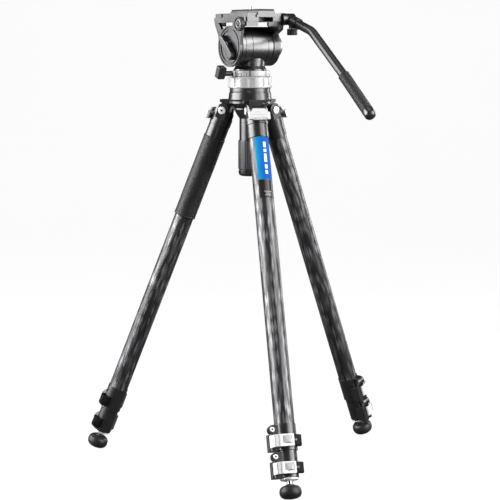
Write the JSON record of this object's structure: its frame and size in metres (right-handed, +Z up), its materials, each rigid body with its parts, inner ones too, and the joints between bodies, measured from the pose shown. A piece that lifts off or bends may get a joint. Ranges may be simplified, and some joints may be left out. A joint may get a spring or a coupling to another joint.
{
  "type": "tripod with fluid head",
  "caption": "Carbon-tube tripod with flip-lock telescopic legs, half-ball levelling base and a panning, tilting fluid head with a pan arm.",
  "frame": {"origin": "on the column axis at the floor, under the spider", "axes": "+Z up, +Y the way the lens points, -Y the operator's side, +X the operator's right; the tilt axis runs along X"},
  "size_m": [0.4842, 0.5064, 0.757],
  "materials": {
    "gloss_black": "gloss black paint over castings",
    "silver": "machined, clear anodised",
    "steel": "turned",
    "anodised_black": "black anodised",
    "black_plastic": "matte",
    "grip_rubber": "fine textured, matte",
    "foot_rubber": "moulded",
    "carbon": "carbon fibre laminate under clear coat"
  },
  "bodies": {
    "base": {"spider": "gloss_black", "hinge_pins": "steel"},
    "liner": {"friction_liner": "black_plastic"},
    "ball": {"half_ball": "anodised_black", "clamp_cup": "gloss_black", "clamp_screw": "steel", "pan_spindle": "steel", "pan_clamp_ring": "silver"},
    "handle": {"level_handle": "anodised_black"},
    "lock_ring": {"scallop_ring": "silver"},
    "pan_lock": {"pan_knob": "black_plastic"},
    "head": {"head_body": "gloss_black"},
    "cradle": {"tilt_cradle": "gloss_black", "tilt_axle": "steel", "arm_pivot_pin": "steel"},
    "tilt_lock": {"tilt_lever": "gloss_black"},
    "tilt_drag": {"drag_knob": "silver"},
    "jaw": {"plate_jaw": "gloss_black"},
    "plate_lock": {"plate_knob": "black_plastic"},
    "plate": {"quick_plate": "anodised_black", "plate_pad": "grip_rubber"},
    "screw": {"camera_screw": "steel"},
    "arm": {"arm_socket": "anodised_black", "pan_arm": "anodised_black", "arm_grip": "grip_rubber"},
    "arm_lock": {"arm_knob": "black_plastic"},
    "leg_near": {"leg_crown_near": "gloss_black", "leg_collar_near": "gloss_black", "upper_tube_near": "carbon", "upper_lock_near": "gloss_black"},
    "middle_near": {"middle_tube_near": "carbon", "lower_lock_near": "gloss_black"},
    "lower_near": {"lower_tube_near": "carbon", "foot_near": "foot_rubber"},
    "latch_near": {"angle_latch_near": "silver"},
    "upper_flip_near": {"upper_lever_near": "silver"},
    "lower_flip_near": {"lower_lever_near": "silver"},
    "leg_right": {"leg_crown_right": "gloss_black", "leg_collar_right": "gloss_black", "upper_tube_right": "carbon", "upper_lock_right": "gloss_black"},
    "middle_right": {"middle_tube_right": "carbon", "lower_lock_right": "gloss_black"},
    "lower_right": {"lower_tube_right": "carbon", "foot_right": "foot_rubber"},
    "latch_right": {"angle_latch_right": "silver"},
    "upper_flip_right": {"upper_lever_right": "silver"},
    "lower_flip_right": {"lower_lever_right": "silver"},
    "leg_left": {"leg_crown_left": "gloss_black", "leg_collar_left": "gloss_black", "upper_tube_left": "carbon", "upper_lock_left": "gloss_black", "leg_sleeve": "grip_rubber"},
    "middle_left": {"middle_tube_left": "carbon", "lower_lock_left": "gloss_black"},
    "lower_left": {"lower_tube_left": "carbon", "foot_left": "foot_rubber"},
    "latch_left": {"angle_latch_left": "silver"},
    "upper_flip_left": {"upper_lever_left": "silver"},
    "lower_flip_left": {"lower_lever_left": "silver"}
  },
  "joints": [
    {"name": "level_front_back", "type": "hinge", "parent": "base", "child": "liner", "pos_m": [0, 0, 0.6205], "axis": [-1, 0, 0], "range_deg": [-9, 9]},
    {"name": "level_left_right", "type": "hinge", "parent": "liner", "child": "ball", "pos_m": [0, 0, 0.6205], "axis": [0, 1, 0], "range_deg": [-9, 9]},
    {"name": "handle_turn", "type": "hinge", "parent": "ball", "child": "handle", "pos_m": [0, 0, 0.523], "axis": [0, 0, 1], "continuous": true},
    {"name": "lock_ring_turn", "type": "hinge", "parent": "ball", "child": "lock_ring", "pos_m": [0, 0, 0.633], "axis": [0, 0, 1], "continuous": true},
    {"name": "pan_lock_turn", "type": "hinge", "parent": "ball", "child": "pan_lock", "pos_m": [-0.05, 0, 0.648], "axis": [-1, 0, 0], "continuous": true},
    {"name": "pan", "type": "hinge", "parent": "ball", "child": "head", "pos_m": [0, 0, 0.663], "axis": [0, 0, 1], "continuous": true},
    {"name": "tilt", "type": "hinge", "parent": "head", "child": "cradle", "pos_m": [0, 0, 0.692], "axis": [1, 0, 0], "range_deg": [-65, 70]},
    {"name": "tilt_lock_turn", "type": "hinge", "parent": "cradle", "child": "tilt_lock", "pos_m": [-0.045, 0, 0.692], "axis": [1, 0, 0], "range_deg": [-45, 45]},
    {"name": "tilt_drag_turn", "type": "hinge", "parent": "cradle", "child": "tilt_drag", "pos_m": [0.047, 0, 0.692], "axis": [1, 0, 0], "continuous": true},
    {"name": "plate_lock_turn", "type": "hinge", "parent": "cradle", "child": "plate_lock", "pos_m": [-0.046, -0.0388, 0.728], "axis": [-1, 0, 0], "range_deg": [0, 720]},
    {"name": "jaw_slide", "type": "slide", "parent": "cradle", "child": "jaw", "axis": [-1, 0, 0], "range_m": [0, 0.002]},
    {"name": "plate_slide", "type": "slide", "parent": "cradle", "child": "plate", "axis": [0, 1, 0], "range_m": [-0.012, 0.012]},
    {"name": "camera_screw_turn", "type": "hinge", "parent": "plate", "child": "screw", "pos_m": [0, -0.004, 0.748], "axis": [0, 0, 1], "continuous": true},
    {"name": "arm_swing", "type": "hinge", "parent": "cradle", "child": "arm", "pos_m": [0.0476, -0.044, 0.736], "axis": [-1, 0, 0], "range_deg": [-30, 90]},
    {"name": "arm_lock_turn", "type": "hinge", "parent": "arm", "child": "arm_lock", "pos_m": [0.0476, -0.053, 0.713], "axis": [0, 0, 1], "continuous": true},
    {"name": "leg_fold_near", "type": "hinge", "parent": "base", "child": "leg_near", "pos_m": [-0.01478, -0.04059, 0.587], "axis": [-0.9397, 0.342, 0], "range_deg": [-22, 0]},
    {"name": "angle_latch_slide_near", "type": "slide", "parent": "leg_near", "child": "latch_near", "axis": [-0.3169, -0.8707, 0.3762], "range_m": [0, 0.004], "stiffness_N_per_m": 300},
    {"name": "middle_slide_near", "type": "slide", "parent": "leg_near", "child": "middle_near", "axis": [-0.1287, -0.3535, -0.9265], "range_m": [0, 0.4]},
    {"name": "lower_slide_near", "type": "slide", "parent": "middle_near", "child": "lower_near", "axis": [-0.1287, -0.3535, -0.9265], "range_m": [0, 0.4]},
    {"name": "upper_flip_turn_near", "type": "hinge", "parent": "leg_near", "child": "upper_flip_near", "pos_m": [-0.1064, -0.22918, 0.0867], "axis": [-0.1287, -0.3535, -0.9265], "range_deg": [0, 110]},
    {"name": "lower_flip_turn_near", "type": "hinge", "parent": "middle_near", "child": "lower_flip_near", "pos_m": [-0.11011, -0.24464, 0.04779], "axis": [-0.1287, -0.3535, -0.9265], "range_deg": [0, 110]},
    {"name": "leg_fold_right", "type": "hinge", "parent": "base", "child": "leg_right", "pos_m": [0.04254, 0.0075, 0.587], "axis": [-0.1736, 0.9848, 0], "range_deg": [0, 22]},
    {"name": "angle_latch_slide_right", "type": "slide", "parent": "leg_right", "child": "latch_right", "axis": [0.9125, 0.1609, 0.3762], "range_m": [0, 0.004], "stiffness_N_per_m": 300},
    {"name": "middle_slide_right", "type": "slide", "parent": "leg_right", "child": "middle_right", "axis": [0.3705, 0.0653, -0.9265], "range_m": [0, 0.4]},
    {"name": "lower_slide_right", "type": "slide", "parent": "middle_right", "child": "lower_right", "axis": [0.3705, 0.0653, -0.9265], "range_m": [0, 0.4]},
    {"name": "upper_flip_turn_right", "type": "hinge", "parent": "leg_right", "child": "upper_flip_right", "pos_m": [0.25167, 0.02244, 0.0867], "axis": [0.3705, 0.0653, -0.9265], "range_deg": [0, 110]},
    {"name": "lower_flip_turn_right", "type": "hinge", "parent": "middle_right", "child": "lower_flip_right", "pos_m": [0.26692, 0.02696, 0.04779], "axis": [0.3705, 0.0653, -0.9265], "range_deg": [0, 110]},
    {"name": "leg_fold_left", "type": "hinge", "parent": "base", "child": "leg_left", "pos_m": [-0.02777, 0.03309, 0.587], "axis": [-0.766, -0.6428, 0], "range_deg": [0, 22]},
    {"name": "angle_latch_slide_left", "type": "slide", "parent": "leg_left", "child": "latch_left", "axis": [-0.5956, 0.7098, 0.3762], "range_m": [0, 0.004], "stiffness_N_per_m": 300},
    {"name": "middle_slide_left", "type": "slide", "parent": "leg_left", "child": "middle_left", "axis": [-0.2418, 0.2882, -0.9265], "range_m": [0, 0.4]},
    {"name": "lower_slide_left", "type": "slide", "parent": "middle_left", "child": "lower_left", "axis": [-0.2418, 0.2882, -0.9265], "range_m": [0, 0.4]},
    {"name": "upper_flip_turn_left", "type": "hinge", "parent": "leg_left", "child": "upper_flip_left", "pos_m": [-0.14527, 0.20673, 0.0867], "axis": [-0.2418, 0.2882, -0.9265], "range_deg": [0, 110]},
    {"name": "lower_flip_turn_left", "type": "hinge", "parent": "middle_left", "child": "lower_flip_left", "pos_m": [-0.15681, 0.21768, 0.04779], "axis": [-0.2418, 0.2882, -0.9265], "range_deg": [0, 110]}
  ],
  "couplings": [
    {"joint": "plate_lock_turn", "follows": "jaw_slide", "rad_per_m": 6283.2}
  ]
}
